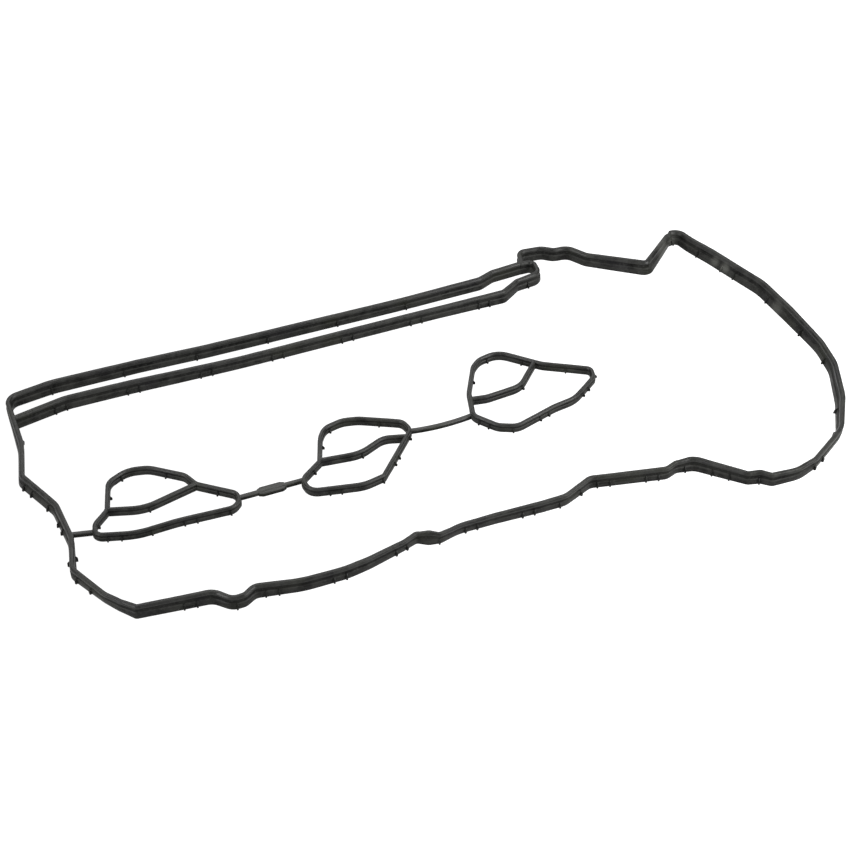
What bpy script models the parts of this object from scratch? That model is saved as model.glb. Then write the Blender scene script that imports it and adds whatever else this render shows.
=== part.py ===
"""Valve cover gasket: one moulded rubber piece, lying flat as it comes to rest.

Plan: X runs along the two back rails, Y goes from the front wall to the back, +Z is up.
The origin is the middle of the gasket's box, on the surface that it lies on.

An outer ring wall, a second back rail and three plug-well loops are upright walls swept
along their centrelines. Thin link bars and a flat tag tie the loops together, and small
retention nibs stand on the walls' faces. All of it is united into one solid.
"""

import math
from dataclasses import dataclass

import bmesh
import bpy
from mathutils import Vector

MM = 0.001

# Ring wall and rail: a wide body, a sloping ledge, a slim neck and a sealing bead, from the foot up
RING_FOOT_WIDTH = 2.8 * MM
RING_BODY_WIDTH = 3.6 * MM
RING_NECK_WIDTH = 2.5 * MM
RING_BEAD_WIDTH = 3.1 * MM
RING_CROWN_WIDTH = 2.0 * MM
RING_FOOT_HEIGHT = 0.5 * MM
RING_BODY_HEIGHT = 3.2 * MM
RING_LEDGE_HEIGHT = 0.6 * MM
RING_NECK_HEIGHT = 1.8 * MM
RING_UNDERSIDE_HEIGHT = 0.4 * MM
RING_BEAD_HEIGHT = 0.8 * MM
RING_CROWN_HEIGHT = 1.0 * MM

# Wall of the plug-well loops, lower and thinner than the ring
LOOP_FOOT_WIDTH = 2.3 * MM
LOOP_BODY_WIDTH = 3.0 * MM
LOOP_NECK_WIDTH = 2.0 * MM
LOOP_BEAD_WIDTH = 2.5 * MM
LOOP_CROWN_WIDTH = 1.6 * MM
LOOP_FOOT_HEIGHT = 0.4 * MM
LOOP_BODY_HEIGHT = 2.4 * MM
LOOP_NECK_HEIGHT = 0.8 * MM
LOOP_BEAD_HEIGHT = 0.8 * MM
LOOP_CROWN_HEIGHT = 0.8 * MM

# Link bars between the loops, and the flat tag on the first of them
LINK_WIDTH = 3.0 * MM
LINK_TOP_WIDTH = 2.2 * MM
LINK_SIDE_HEIGHT = 1.9 * MM
LINK_ROUND_HEIGHT = 0.5 * MM
TAG_LENGTH = 17.0 * MM
TAG_WIDTH = 6.8 * MM
TAG_END_WIDTH = 4.2 * MM
TAG_TAPER = 2.4 * MM
TAG_THICKNESS = 2.1 * MM

# Retention nibs: short ribs on the walls' faces, alone or in pairs
NIB_WIDTH = 1.2 * MM
NIB_REACH = 1.3 * MM
NIB_SLOPE = 0.8 * MM
NIB_BITE = 0.2 * MM
NIB_SPREAD = 7.3 * MM

# Plan: the gasket's reference lines, from which corners and nibs are measured
LENGTH = 470.0 * MM
DEPTH = 220.0 * MM
RAIL_SPACING = 18.0 * MM
LEFT, MIDDLE, RIGHT = -LENGTH / 2, 0.0, LENGTH / 2
FRONT, CENTRE, BACK = -DEPTH / 2, 0.0, DEPTH / 2
SECOND_RAIL = BACK - RAIL_SPACING

# Plug wells: the first one's place, their pitch, and how far each has drifted sideways
FIRST_WELL = 59.0 * MM
WELL_PITCH = 119.0 * MM
WELL_DRIFT = (-6.3 * MM, -12.8 * MM, 8.7 * MM)

# Nibs along the rails: how far from the left and right ends the first and last pairs stand
RAIL_NIB_START = 33.0 * MM
RAIL_NIB_END = 164.0 * MM
RAIL_NIB_PAIRS = 7
RAIL_NIB_SINGLES = 6
RAIL_NIB_PITCH = (LENGTH - RAIL_NIB_START - RAIL_NIB_END) / (RAIL_NIB_PAIRS - 1)

# Arcs of the corners: the widest turn that one facet takes
FACET_TURN = math.radians(25)


@dataclass(frozen=True)
class Run:
    """Corners of a wall's outline, in millimetres from a point of the plan.

    Each corner holds X, Y, the radius of its arc and how far the crown leans out past the foot.
    """

    x: float
    y: float
    corners: tuple


# Centreline of the ring at the foot, clockwise from above
RING = (
    Run(LEFT, BACK, ((5.8, -1.1, 8, 0.8), (34.5, 3.2, 50, 1.2), (87.0, 3.5, 200, 0.5), (130.0, 2.2, 200, 0.2))),
    Run(
        RIGHT,
        BACK,
        (
            (-215.0, 2.5, 300, -0.2),
            (-158.5, 4.0, 8, 0.4),
            (-148.5, 8.5, 8, 0.0),
            (-126.5, 9.9, 2.6, 0.4),
            (-123.5, 21.5, 4, 0.6),
            (-109.0, 20.0, 8, 0.6),
            (-103.0, 15.0, 8, 0.8),
            (-93.5, 14.0, 8, 0.9),
            (-86.5, 2.5, 8, 1.0),
            (-54.2, -22.4, 5, 2.4),
            (-29.5, 2.0, 5, 0.5),
            (-22.0, 3.2, 4.6, 2.5),
            (-19.2, -8.0, 30, 2.7),
            (-12.7, -26.0, 60, 3.1),
        ),
    ),
    Run(RIGHT, CENTRE, ((0.4, 42.5, 40, 3.2), (3.0, 12.0, 60, 3.4), (5.4, -25.5, 50, 2.1), (2.2, -48.0, 40, 2.3))),
    Run(
        RIGHT,
        FRONT,
        (
            (-9.2, 33.5, 60, 2.9),
            (-23.0, 7.2, 24, 1.9),
            (-50.2, -12.7, 16, 1.5),
            (-63.3, -18.2, 20, 0.7),
            (-80.3, -18.0, 3, -0.1),
            (-85.5, -13.2, 3, -0.4),
            (-92.5, -11.5, 3, -0.1),
            (-115.0, 11.5, 10, -1.2),
            (-126.2, 13.9, 6, 0.5),
            (-133.7, 10.9, 5, 0.6),
        ),
    ),
    Run(
        MIDDLE,
        FRONT,
        (
            (57.0, 20.4, 8, 0.8),
            (37.2, 11.3, 12, 1.3),
            (22.0, 11.0, 50, 1.6),
            (-5.0, 11.8, 60, 2.1),
            (-29.0, 11.6, 60, 2.5),
            (-40.4, 8.0, 5, 1.9),
            (-46.8, 8.9, 4, -0.8),
            (-52.8, 13.2, 4, 1.2),
            (-63.0, 9.5, 30, 1.9),
            (-84.5, 2.8, 60, 0.8),
        ),
    ),
    Run(
        LEFT,
        FRONT,
        (
            (136.0, -0.3, 60, 0.4),
            (109.4, -0.8, 60, 0.0),
            (83.2, 3.8, 7, -0.8),
            (75.6, -0.8, 6, -0.5),
            (68.7, -1.0, 7, -0.4),
            (60.4, 8.3, 9, -0.8),
            (18.0, 12.5, 1.5, -0.4),
            (11.6, 22.0, 25, 1.0),
            (6.9, 30.7, 30, 1.9),
        ),
    ),
    Run(
        LEFT,
        CENTRE,
        (
            (-3.8, -53.8, 7, 0.8),
            (2.7, -27.0, 20, -0.3),
            (2.8, 3.0, 12, -0.6),
            (-7.8, 35.3, 8, -0.7),
            (0.3, 64.0, 40, -0.7),
        ),
    ),
)

# Centreline of the second rail, from the left wall to the hairpin that turns back into the ring
RAIL = (
    Run(LEFT, SECOND_RAIL, ((3.1, -3.8, 0, 0.8), (37.2, 3.3, 40, 1.1), (75.0, 3.4, 100, 0.7), (145.3, 2.1, 200, -0.6))),
    Run(
        RIGHT,
        SECOND_RAIL,
        ((-194.5, 4.2, 200, -0.5), (-149.8, 3.6, 5, 0.6), (-138.0, 11.9, 6, -0.2), (-120.0, 14.0, 7.2, 0.5)),
    ),
    Run(RIGHT, BACK, ((-120.0, 9.9, 7.2, 0.0), (-128.0, 9.6, 0, 0.0))),
)


@dataclass(frozen=True)
class NibRow:
    """Nibs on one face of a wall, at places measured from a line of the plan.

    From each place a ray runs in the heading, and the nib stands where it last meets the wall.
    Side 1 is the left face in the wall's direction of travel, which is the ring's outside.
    """

    line: float
    places: tuple
    heading: Vector
    side: int
    paired: bool = False


TO_LEFT, TO_RIGHT = Vector((-1, 0)), Vector((1, 0))
TO_FRONT, TO_BACK = Vector((0, -1)), Vector((0, 1))
OUTSIDE, INSIDE = 1, -1


def mm(*lengths):
    """Lengths given in millimetres, in metres."""
    return tuple(length * MM for length in lengths)


def rail_places(count):
    """Where nibs stand along a rail, from the left end."""
    return tuple(RAIL_NIB_START + RAIL_NIB_PITCH * k for k in range(count))


RING_NIBS = (
    NibRow(LEFT, rail_places(RAIL_NIB_PAIRS), TO_BACK, OUTSIDE, paired=True),
    NibRow(LEFT, rail_places(RAIL_NIB_SINGLES), TO_BACK, INSIDE),
    NibRow(RIGHT, mm(-26.1), TO_BACK, INSIDE),
    NibRow(LEFT, mm(47.6, 92.4, 130.7), TO_FRONT, OUTSIDE, paired=True),
    NibRow(MIDDLE, mm(-64.8, -21.0, 14.2, 65.0), TO_FRONT, OUTSIDE, paired=True),
    NibRow(RIGHT, mm(-142.0, -103.5, -48.6), TO_FRONT, OUTSIDE, paired=True),
    NibRow(LEFT, mm(70.8), TO_FRONT, OUTSIDE),
    NibRow(MIDDLE, mm(-41.5, 33.6, 48.5), TO_FRONT, OUTSIDE),
    NibRow(RIGHT, mm(-121.0, -86.6), TO_FRONT, OUTSIDE),
    NibRow(CENTRE, mm(26.9, -12.5), TO_LEFT, OUTSIDE, paired=True),
    NibRow(CENTRE, mm(7.8, -44.1, -58.1), TO_LEFT, OUTSIDE),
    NibRow(FRONT, mm(40.7), TO_LEFT, OUTSIDE),
    NibRow(CENTRE, mm(-40.5), TO_LEFT, INSIDE),
    NibRow(BACK, mm(-38.8), TO_LEFT, INSIDE),
    NibRow(BACK, mm(-16.5, -36.8, -47.3), TO_RIGHT, INSIDE),
    NibRow(CENTRE, mm(31.8, -6.5, -37.6), TO_RIGHT, INSIDE),
    NibRow(FRONT, mm(26.0, 6.5), TO_RIGHT, INSIDE),
)
RAIL_NIBS = (
    NibRow(LEFT, rail_places(RAIL_NIB_PAIRS), TO_BACK, INSIDE, paired=True),
    NibRow(RIGHT, mm(-130.4), TO_BACK, INSIDE),
)


@dataclass(frozen=True)
class Well:
    """One plug-well loop about its own centre: outline and divider corners, and nib places.

    Corners hold X, Y and the radius of the arc in millimetres. The loop's nibs are given as
    angles about the centre in degrees, and the divider's as its X from there.
    """

    outline: tuple
    divider: tuple
    outer_nibs: tuple
    inner_nibs: tuple
    divider_nib: float


# Loop outlines run clockwise from above
WELLS = (
    Well(
        outline=(
            (-41.8, -21.4, 4.5),
            (-40.5, -12.5, 10),
            (-29.7, -2.6, 8),
            (-21.7, 20.8, 10),
            (-8.0, 27.8, 18),
            (4.3, 24.9, 14),
            (21.4, 10.2, 8),
            (24.7, 0.5, 6),
            (43.3, -16.1, 5),
            (42.7, -22.8, 4),
            (37.6, -27.7, 7),
            (4.4, -26.4, 100),
            (-20.0, -27.9, 40),
        ),
        divider=((-28.5, -2.8, 0), (-9.5, -8.5, 25), (24.5, 0.5, 0)),
        outer_nibs=(213, 222, 247, 287, 300, 322),
        inner_nibs=(54, 118, 158, 196, 346),
        divider_nib=-6.6,
    ),
    Well(
        outline=(
            (-37.0, -12.3, 8),
            (-21.9, -0.8, 4),
            (-13.6, 20.1, 14),
            (-8.6, 27.1, 12),
            (3.6, 30.3, 16),
            (13.2, 28.2, 20),
            (36.4, 15.5, 6),
            (38.1, 7.0, 6),
            (7.5, -27.2, 3),
            (-5.6, -30.2, 20),
            (-36.1, -23.9, 6.5),
        ),
        divider=((-21.5, 0.0, 0), (2.8, -2.5, 22), (20.2, 5.8, 12), (33.4, 1.8, 0)),
        outer_nibs=(5, 226, 236, 283, 318, 333),
        inner_nibs=(42, 102, 139, 191),
        divider_nib=3.6,
    ),
    Well(
        outline=(
            (-41.6, -16.6, 7),
            (-34.9, 6.5, 20),
            (-23.5, 27.5, 14),
            (-17.4, 32.7, 12),
            (-3.8, 35.6, 12),
            (16.0, 14.5, 20),
            (41.6, -1.3, 4),
            (39.6, -9.2, 6),
            (20.0, -24.0, 20),
            (5.6, -26.5, 30),
            (-21.8, -35.6, 10),
            (-32.1, -30.7, 10),
        ),
        divider=((-38.0, -1.0, 0), (-27.5, -2.8, 10), (-4.7, -0.7, 15), (13.0, 18.3, 0)),
        outer_nibs=(208, 217, 235, 259, 271, 325, 335, 352),
        inner_nibs=(13, 72, 110, 150),
        divider_nib=-3.5,
    ),
)


@dataclass(frozen=True)
class Link:
    """A bar that ends on a loop: the Y of its ends from the wells' centres, and its sideways bow."""

    name: str
    start: float
    end: float
    bow: float
    tagged: bool = False


# The bars from the ring's left wall to the first loop, and from each loop to the next
LINKS = (
    Link("left_link", start=-11.8 * MM, end=-15.2 * MM, bow=0.0),
    Link("tag_link", start=-17.5 * MM, end=-10.0 * MM, bow=0.0, tagged=True),
    Link("bare_link", start=9.0 * MM, end=-12.8 * MM, bow=-1.9 * MM),
)
LINK_FACETS = 4


@dataclass(frozen=True)
class Station:
    """A point of a wall's centreline at the foot, with the crown's lean there."""

    point: Vector
    lean: float


@dataclass(frozen=True)
class Hit:
    """Where a ray meets a wall: the point, the wall's direction and its lean."""

    point: Vector
    along: Vector
    lean: float


@dataclass(frozen=True)
class Wall:
    """A swept wall: its stations, whether it closes, and its half widths at their heights."""

    stations: list
    closed: bool
    section: list

    def height(self):
        """Height of the crown above the foot."""
        return self.section[-1][1]

    def spans(self):
        """Each stretch between neighbouring stations."""
        ahead = self.stations[1:] + self.stations[:1]
        pairs = list(zip(self.stations, ahead))
        return pairs if self.closed else pairs[:-1]


def ring_section():
    """Half widths of the ring's wall at their heights, from the foot up."""
    body = RING_FOOT_HEIGHT + RING_BODY_HEIGHT
    ledge = body + RING_LEDGE_HEIGHT
    neck = ledge + RING_NECK_HEIGHT
    underside = neck + RING_UNDERSIDE_HEIGHT
    bead = underside + RING_BEAD_HEIGHT
    return [
        (RING_FOOT_WIDTH / 2, 0.0),
        (RING_BODY_WIDTH / 2, RING_FOOT_HEIGHT),
        (RING_BODY_WIDTH / 2, body),
        (RING_NECK_WIDTH / 2, ledge),
        (RING_NECK_WIDTH / 2, neck),
        (RING_BEAD_WIDTH / 2, underside),
        (RING_BEAD_WIDTH / 2, bead),
        (RING_CROWN_WIDTH / 2, bead + RING_CROWN_HEIGHT),
    ]


def loop_section():
    """Half widths of a loop's wall at their heights, from the foot up."""
    body = LOOP_FOOT_HEIGHT + LOOP_BODY_HEIGHT
    neck = body + LOOP_NECK_HEIGHT
    bead = neck + LOOP_BEAD_HEIGHT
    return [
        (LOOP_FOOT_WIDTH / 2, 0.0),
        (LOOP_BODY_WIDTH / 2, LOOP_FOOT_HEIGHT),
        (LOOP_BODY_WIDTH / 2, body),
        (LOOP_NECK_WIDTH / 2, neck),
        (LOOP_BEAD_WIDTH / 2, bead),
        (LOOP_CROWN_WIDTH / 2, bead + LOOP_CROWN_HEIGHT),
    ]


def link_section():
    """Half widths of a link bar at their heights, from the foot up."""
    return [
        (LINK_WIDTH / 2, 0.0),
        (LINK_WIDTH / 2, LINK_SIDE_HEIGHT),
        (LINK_TOP_WIDTH / 2, LINK_SIDE_HEIGHT + LINK_ROUND_HEIGHT),
    ]


def corner_arc(before, corner, after, radius):
    """Points of the arc that rounds a corner, tangent to the runs on both sides."""
    back = before - corner
    ahead = after - corner
    turn = math.pi - back.angle(ahead)
    reach = min(radius * math.tan(turn / 2), back.length / 2, ahead.length / 2)
    radius = reach / math.tan(turn / 2)
    start = corner + back.normalized() * reach
    bisector = (back.normalized() + ahead.normalized()).normalized()
    centre = corner + bisector * math.hypot(reach, radius)
    side = 1 if back.cross(ahead) < 0 else -1
    facets = max(1, math.ceil(turn / FACET_TURN))
    spoke = start - centre
    points = []
    for k in range(facets + 1):
        swing = side * turn * k / facets
        cos, sin = math.cos(swing), math.sin(swing)
        points.append(centre + Vector((spoke.x * cos - spoke.y * sin, spoke.x * sin + spoke.y * cos)))
    return points


def centreline(runs, closed):
    """Stations along the straight runs and rounded corners of an outline."""
    corners = []
    for run in runs:
        for corner in run.corners:
            x, y, radius, lean = (*mm(*corner), 0.0)[:4]
            corners.append((Vector((run.x + x, run.y + y)), radius, lean))
    count = len(corners)
    stations = []
    for i, (point, radius, lean) in enumerate(corners):
        rounded = [point]
        if radius and (closed or 0 < i < count - 1):
            rounded = corner_arc(corners[i - 1][0], point, corners[(i + 1) % count][0], radius)
        stations += [Station(place, lean) for place in rounded]
    return stations


def wall_hit(wall, start, heading):
    """The farthest place where a ray from start meets the wall's centreline."""
    found = None
    farthest = 0.0
    for near, far in wall.spans():
        run = far.point - near.point
        slant = heading.cross(run)
        if not slant:
            continue
        offset = near.point - start
        reach = offset.cross(run) / slant
        share = offset.cross(heading) / slant
        if 0 <= share <= 1 and reach > farthest:
            farthest = reach
            lean = near.lean + (far.lean - near.lean) * share
            found = Hit(near.point + run * share, run.normalized(), lean)
    return found


def nearest_on(wall, point):
    """The point of a wall's centreline that lies nearest to the given one."""
    places = []
    for near, far in wall.spans():
        run = far.point - near.point
        share = (point - near.point).dot(run) / run.length_squared
        places.append(near.point + run * min(max(share, 0.0), 1.0))
    return min(places, key=lambda place: (place - point).length)


def joined_wall(runs, carrier, section):
    """An open wall whose two ends lie on the centreline of the wall that carries it."""
    stations = centreline(runs, False)
    for end in (0, -1):
        stations[end] = Station(nearest_on(carrier, stations[end].point), stations[end].lean)
    return Wall(stations, False, section)


def mitres(wall):
    """Sideways direction at each station, to the left of travel, lengthened at each bend."""
    points = [station.point for station in wall.stations]
    count = len(points)
    sideways = []
    for i, point in enumerate(points):
        runs = []
        if wall.closed or i > 0:
            runs.append((point - points[i - 1]).normalized())
        if wall.closed or i < count - 1:
            runs.append((points[(i + 1) % count] - point).normalized())
        normals = [Vector((-run.y, run.x)) for run in runs]
        middle = (normals[0] + normals[-1]).normalized()
        sideways.append(middle / middle.dot(normals[0]))
    return sideways


def mesh_object(name, bm):
    """An object holding the bmesh, with its faces turned out."""
    bmesh.ops.recalc_face_normals(bm, faces=bm.faces)
    mesh = bpy.data.meshes.new(name)
    bm.to_mesh(mesh)
    bm.free()
    obj = bpy.data.objects.new(name, mesh)
    bpy.context.scene.collection.objects.link(obj)
    return obj


def sweep(name, wall):
    """The wall as a closed mesh: its section at each station, joined round, with end caps."""
    outline = [(-half, height) for half, height in wall.section]
    outline += [(half, height) for half, height in reversed(wall.section)]
    bm = bmesh.new()
    slices = []
    for station, sideways in zip(wall.stations, mitres(wall)):
        ring = []
        for across, height in outline:
            shift = across + station.lean * height / wall.height()
            place = station.point + sideways * shift
            ring.append(bm.verts.new((place.x, place.y, height)))
        slices.append(ring)
    pairs = list(zip(slices, slices[1:]))
    if wall.closed:
        pairs.append((slices[-1], slices[0]))
    else:
        bm.faces.new(slices[0])
        bm.faces.new(slices[-1])
    for near, far in pairs:
        for k in range(len(outline)):
            after = (k + 1) % len(outline)
            bm.faces.new((near[k], near[after], far[after], far[k]))
    return mesh_object(name, bm)


def add_nib(bm, wall, hit, side):
    """One rib on a wall's face: upright from the foot's edge, sloping back to the wall above."""
    outward = Vector((-hit.along.y, hit.along.x)) * side
    face, foot = wall.section[1]
    shoulder = wall.section[2][1]
    slimmest = min(half for half, height in wall.section if foot <= height < wall.height())
    root = slimmest - NIB_BITE
    tip = face + NIB_REACH
    profile = ((root, foot), (tip, foot), (tip, shoulder - NIB_SLOPE), (root, shoulder + NIB_SLOPE))
    ends = []
    for edge in (-NIB_WIDTH / 2, NIB_WIDTH / 2):
        corners = []
        for out, height in profile:
            lean = hit.lean * side * height / wall.height()
            place = hit.point + hit.along * edge + outward * (out + lean)
            corners.append(bm.verts.new((place.x, place.y, height)))
        ends.append(corners)
        bm.faces.new(corners)
    for k in range(len(profile)):
        after = (k + 1) % len(profile)
        bm.faces.new((ends[0][k], ends[0][after], ends[1][after], ends[1][k]))


def row_hits(wall, rows):
    """Where the nibs of some rows stand on their wall, each with its side."""
    hits = []
    for row in rows:
        spread = (-NIB_SPREAD / 2, NIB_SPREAD / 2) if row.paired else (0.0,)
        for place in (row.line + place + shift for place in row.places for shift in spread):
            start = Vector((place, 0)) if row.heading.x == 0 else Vector((0, place))
            hits.append((wall_hit(wall, start, row.heading), row.side))
    return hits


def well_hits(well, loop, centre):
    """Where a loop's nibs stand, seen at their angles from the well's centre."""
    hits = []
    for angles, side in ((well.outer_nibs, OUTSIDE), (well.inner_nibs, INSIDE)):
        for angle in map(math.radians, angles):
            hits.append((wall_hit(loop, centre, Vector((math.cos(angle), math.sin(angle)))), side))
    return hits


def divider_hit(well, divider, centre):
    """Where the divider's one nib stands, on its front face."""
    foremost = min(station.point.y for station in divider.stations)
    start = Vector((centre.x + well.divider_nib * MM, foremost - NIB_SPREAD))
    return wall_hit(divider, start, TO_BACK), INSIDE


def nib_object(name, groups):
    """All the nibs of the given walls in one mesh."""
    bm = bmesh.new()
    for wall, hits in groups:
        for hit, side in hits:
            add_nib(bm, wall, hit, side)
    return mesh_object(name, bm)


def link_wall(start, end, bow):
    """A link bar between two points, bowed sideways at its middle as a parabola."""
    stations = []
    for k in range(LINK_FACETS + 1):
        share = k / LINK_FACETS
        rise = 1 - (2 * share - 1) ** 2
        stations.append(Station(start.lerp(end, share) + Vector((0, bow * rise)), 0.0))
    return Wall(stations, False, link_section())


def tag_object(name, start, end):
    """The flat tag on the middle of a link: a plate with tapered ends."""
    along = (end - start).normalized()
    across = Vector((-along.y, along.x))
    middle = (start + end) / 2
    side = [(TAG_LENGTH / 2, TAG_END_WIDTH / 2), (TAG_LENGTH / 2 - TAG_TAPER, TAG_WIDTH / 2)]
    side += [(-x, y) for x, y in reversed(side)]
    outline = side + [(x, -y) for x, y in reversed(side)]
    bm = bmesh.new()
    places = [middle + along * x + across * y for x, y in outline]
    base = bm.faces.new([bm.verts.new((place.x, place.y, 0)) for place in places])
    raised = bmesh.ops.extrude_face_region(bm, geom=[base])["geom"]
    lifted = [item for item in raised if isinstance(item, bmesh.types.BMVert)]
    bmesh.ops.translate(bm, verts=lifted, vec=(0, 0, TAG_THICKNESS))
    return mesh_object(name, bm)


def link_shapes(ring, loops):
    """The link bars, from the ring through the loops, and the tag."""
    first_centre = loops[0][1]
    carriers = [(ring, Vector((MIDDLE, first_centre.y)), TO_LEFT)]
    carriers += [(loop, centre, TO_RIGHT) for loop, centre in loops[:-1]]
    shapes = []
    for link, (carrier, middle, heading), (loop, centre) in zip(LINKS, carriers, loops):
        start = wall_hit(carrier, middle + Vector((0, link.start)), heading).point
        end = wall_hit(loop, centre + Vector((0, link.end)), TO_LEFT).point
        shapes.append(sweep(link.name, link_wall(start, end, link.bow)))
        if link.tagged:
            shapes.append(tag_object("tag", start, end))
    return shapes


def rubber():
    """Black rubber with a satin skin."""
    material = bpy.data.materials.new("black_rubber")
    material.use_nodes = True
    shader = material.node_tree.nodes["Principled BSDF"]
    shader.inputs["Base Color"].default_value = (0.03, 0.031, 0.03, 1.0)
    shader.inputs["Roughness"].default_value = 0.5
    shader.inputs["Metallic"].default_value = 0.0
    return material


def centre_box(objects):
    """Moves the meshes so that the middle of their common box is over the origin."""
    corners = [vertex.co for obj in objects for vertex in obj.data.vertices]
    low = Vector([min(corner[axis] for corner in corners) for axis in range(3)])
    high = Vector([max(corner[axis] for corner in corners) for axis in range(3)])
    shift = -(low + high) / 2
    shift.z = -low.z
    for obj in objects:
        for vertex in obj.data.vertices:
            vertex.co += shift


def unite(body, shapes):
    """Joins the other shapes, which stay hidden in a collection of their own, to the body."""
    hidden = bpy.data.collections.new("shapes")
    bpy.context.scene.collection.children.link(hidden)
    for shape in shapes:
        hidden.objects.link(shape)
        bpy.context.scene.collection.objects.unlink(shape)
        shape.hide_render = True
        shape.display_type = "WIRE"
    union = body.modifiers.new("shapes", "BOOLEAN")
    union.operation = "UNION"
    union.solver = "EXACT"
    union.operand_type = "COLLECTION"
    union.collection = hidden


def build():
    """Models every wall, link and nib, and unites them into the gasket."""
    for obj in list(bpy.data.objects):
        bpy.data.objects.remove(obj)
    ring = Wall(centreline(RING, True), True, ring_section())
    rail = joined_wall(RAIL, ring, ring_section())
    gasket = sweep("gasket", ring)
    shapes = [sweep("rail", rail)]
    nibs = [(ring, row_hits(ring, RING_NIBS)), (rail, row_hits(rail, RAIL_NIBS))]

    loops = []
    for number, (well, drift) in enumerate(zip(WELLS, WELL_DRIFT)):
        centre = Vector((LEFT + FIRST_WELL + WELL_PITCH * number, drift))
        loop = Wall(centreline([Run(centre.x, centre.y, well.outline)], True), True, loop_section())
        divider = joined_wall([Run(centre.x, centre.y, well.divider)], loop, loop_section())
        shapes += [sweep(f"loop_{number + 1}", loop), sweep(f"divider_{number + 1}", divider)]
        nibs.append((loop, well_hits(well, loop, centre)))
        nibs.append((divider, [divider_hit(well, divider, centre)]))
        loops.append((loop, centre))

    shapes += link_shapes(ring, loops)
    shapes.append(nib_object("nibs", nibs))
    centre_box([gasket] + shapes)
    unite(gasket, shapes)
    gasket.data.materials.append(rubber())


build()
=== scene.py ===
"""Looks of the valve cover gasket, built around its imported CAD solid.

One black rubber moulding lies on a pale studio floor. Its walls follow the solid's own
centrelines, with every edge of their sections rounded, and all of it is united into one mesh.
X runs along the two back rails, Y goes from the front wall to the back, and +Z is up.
"""

import logging
import math
from dataclasses import dataclass, field
from enum import Enum

import bmesh
import bpy
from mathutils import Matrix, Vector, noise


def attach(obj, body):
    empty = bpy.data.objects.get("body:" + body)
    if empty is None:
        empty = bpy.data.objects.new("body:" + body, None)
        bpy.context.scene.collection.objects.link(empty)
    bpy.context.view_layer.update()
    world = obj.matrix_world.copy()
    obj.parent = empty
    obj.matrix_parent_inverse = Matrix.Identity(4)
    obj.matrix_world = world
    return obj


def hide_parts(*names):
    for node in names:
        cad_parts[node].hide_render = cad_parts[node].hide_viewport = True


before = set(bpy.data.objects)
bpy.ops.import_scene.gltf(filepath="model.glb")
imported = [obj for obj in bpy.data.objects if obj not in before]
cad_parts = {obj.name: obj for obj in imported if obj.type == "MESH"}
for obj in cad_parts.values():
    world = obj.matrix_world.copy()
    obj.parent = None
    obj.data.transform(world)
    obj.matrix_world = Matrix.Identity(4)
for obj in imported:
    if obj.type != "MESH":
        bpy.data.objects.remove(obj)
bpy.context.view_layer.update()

LOG = logging.getLogger("gasket")
BODY = "root"
NODE = "gasket"
MM = 0.001

# Reference lines of the plan, and where the plan's own middle lies in the part's frame
LENGTH, DEPTH, RAIL_SPACING = 470.0 * MM, 220.0 * MM, 18.0 * MM
LEFT, MIDDLE, RIGHT = -LENGTH / 2, 0.0, LENGTH / 2
FRONT, CENTRE, BACK = -DEPTH / 2, 0.0, DEPTH / 2
SECOND_RAIL = BACK - RAIL_SPACING
PLAN_SHIFT = Vector((0.328 * MM, -1.466 * MM))

# How finely the curves are drawn, how round a bevel is, and the angle from which an edge is sharp
ARC_TURN = math.radians(6)
EDGE_TURN = math.radians(26)
STATION_STEP = 2.6 * MM
ROUND_BEVEL = 0.5
SHARP_ANGLE = math.radians(38)

# Sockets of a mix node that hold its colours
LOWER_COLOUR, UPPER_COLOUR, MIXED_COLOUR = 6, 7, 2

# Full white, and the stretch that reads an object's places in millimetres
WHITE = (1.0, 1.0, 1.0, 1.0)
IN_MM = (1 / MM,) * 3

PlanCorner = tuple[float, ...]
Triple = tuple[float, float, float]
Range = tuple[float, float]
BMesh = bmesh.types.BMesh
Socket = bpy.types.NodeSocket
SceneObject = bpy.types.Object


def placed(name: str, data: bpy.types.ID) -> SceneObject:
    """Puts a new object into the scene.

    Args:
        name: The object's name.
        data: Its mesh, lamp or camera.

    Returns:
        The object.
    """
    obj = bpy.data.objects.new(name, data)
    bpy.context.scene.collection.objects.link(obj)
    return obj


def facing(
    name: str, data: bpy.types.ID, aim: Vector, azimuth: float, elevation: float, distance: float
) -> SceneObject:
    """Puts a lamp or a camera into the scene, turned to a point.

    Args:
        name: The object's name.
        data: Its lamp or camera.
        aim: The point that it faces.
        azimuth: Where it stands round that point, in radians.
        elevation: How high it stands, in radians.
        distance: How far off it stands.

    Returns:
        The object.
    """
    level = math.cos(elevation)
    back = Vector((math.sin(azimuth) * level, -math.cos(azimuth) * level, math.sin(elevation)))
    obj = placed(name, data)
    obj.location = aim + back * distance
    obj.rotation_euler = back.to_track_quat("Z", "Y").to_euler()
    return obj


def soften(bm: BMesh, edges: list[bmesh.types.BMEdge], width: float, facets: int) -> None:
    """Rounds some edges of a mesh over a width, in facets."""
    bmesh.ops.bevel(
        bm, geom=edges, offset=width, segments=facets, profile=ROUND_BEVEL, affect="EDGES"
    )


class Face(Enum):
    """Which face of a wall a nib stands on, seen in the wall's direction of travel."""

    OUTSIDE = 1
    INSIDE = -1


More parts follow.
